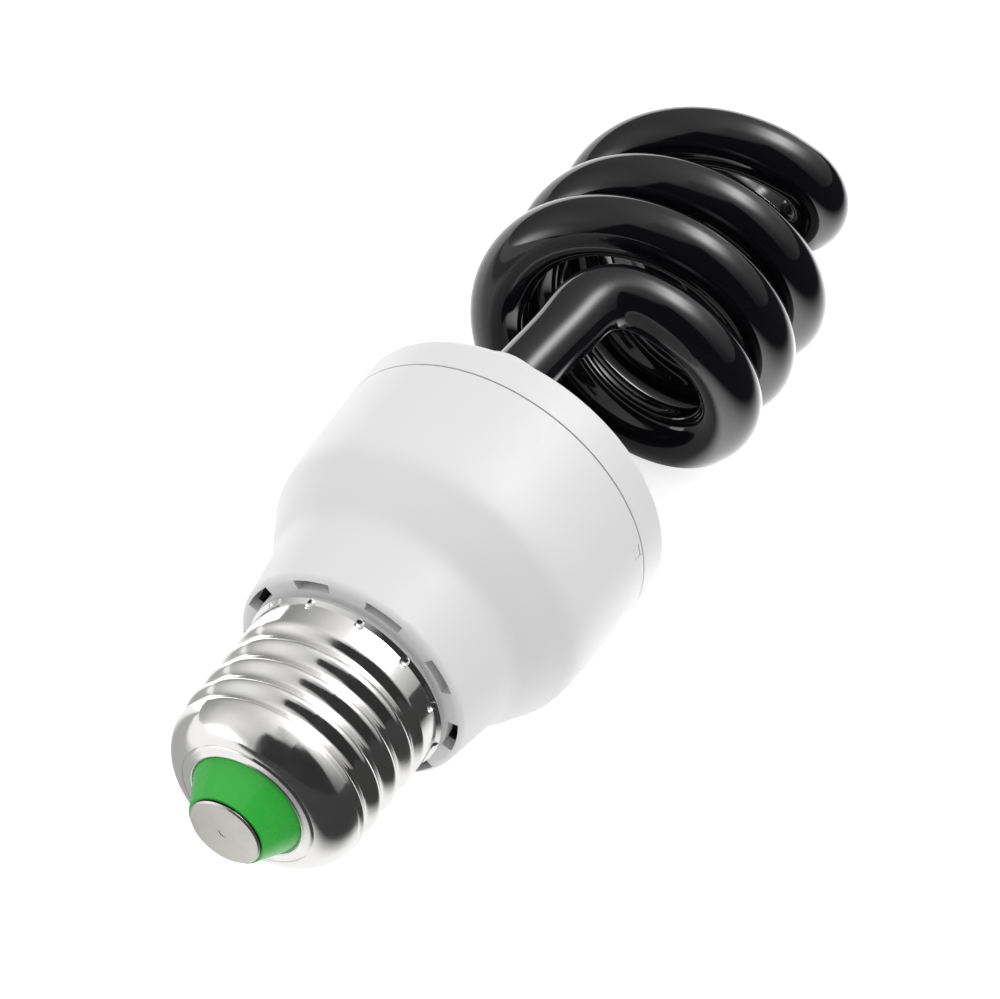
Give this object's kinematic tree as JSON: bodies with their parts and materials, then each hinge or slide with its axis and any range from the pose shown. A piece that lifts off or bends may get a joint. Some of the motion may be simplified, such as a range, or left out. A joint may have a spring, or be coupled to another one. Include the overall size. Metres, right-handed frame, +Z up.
{
  "type": "compact fluorescent black light bulb",
  "caption": "Spiral compact fluorescent black light bulb with a dark glass tube, a white ballast housing and a 27 mm Edison screw cap.",
  "frame": {"origin": "on the table under the middle of the lamp's box", "axes": "+X along the lamp's length, from the screw cap to the tube's far end, +Z up"},
  "size_m": [0.133, 0.0448, 0.045],
  "materials": {
    "opal_plastic": "satin",
    "black_glass": "gloss",
    "nickel_plate": "bright",
    "green_insulator": "gloss",
    "contact_metal": "satin",
    "silicone_cement": "matte",
    "board_laminate": "satin",
    "ferrite": "matte",
    "bobbin_plastic": "satin",
    "enamelled_copper": "gloss",
    "capacitor_sleeve": "gloss",
    "film_resin": "satin",
    "epoxy_black": "satin",
    "resistor_body": "satin",
    "fuse_body": "matte",
    "diode_glass": "gloss",
    "tinned_steel": "bright",
    "lead_sleeve": "satin"
  },
  "bodies": {
    "root": {"centre_contact": "contact_metal", "cap_insulator": "green_insulator", "screw_shell": "nickel_plate", "ballast_housing": "opal_plastic", "tube_cover": "opal_plastic", "spiral_tube": "black_glass", "tube_cement": "silicone_cement", "circuit_board": "board_laminate", "choke_core": "ferrite", "choke_bobbin": "bobbin_plastic", "choke_winding": "enamelled_copper", "smoothing_capacitor": "capacitor_sleeve", "drive_ring_core": "ferrite", "drive_ring_winding": "enamelled_copper", "switch_transistor_1": "epoxy_black", "switch_transistor_2": "epoxy_black", "rectifier_diode_1": "epoxy_black", "rectifier_diode_2": "epoxy_black", "rectifier_diode_3": "epoxy_black", "rectifier_diode_4": "epoxy_black", "resonant_capacitor": "film_resin", "coupling_capacitor": "film_resin", "base_resistor_1": "resistor_body", "base_resistor_2": "resistor_body", "start_resistor_1": "resistor_body", "start_resistor_2": "resistor_body", "trigger_diode": "diode_glass", "fuse_resistor": "fuse_body", "input_inductor": "ferrite", "wrap_pin_1": "tinned_steel", "wrap_pin_2": "tinned_steel", "wrap_pin_3": "tinned_steel", "wrap_pin_4": "tinned_steel", "filament_lead_1": "tinned_steel", "filament_lead_2": "tinned_steel", "filament_lead_3": "tinned_steel", "filament_lead_4": "tinned_steel", "live_lead": "lead_sleeve", "neutral_lead": "lead_sleeve"}
  },
  "joints": []
}
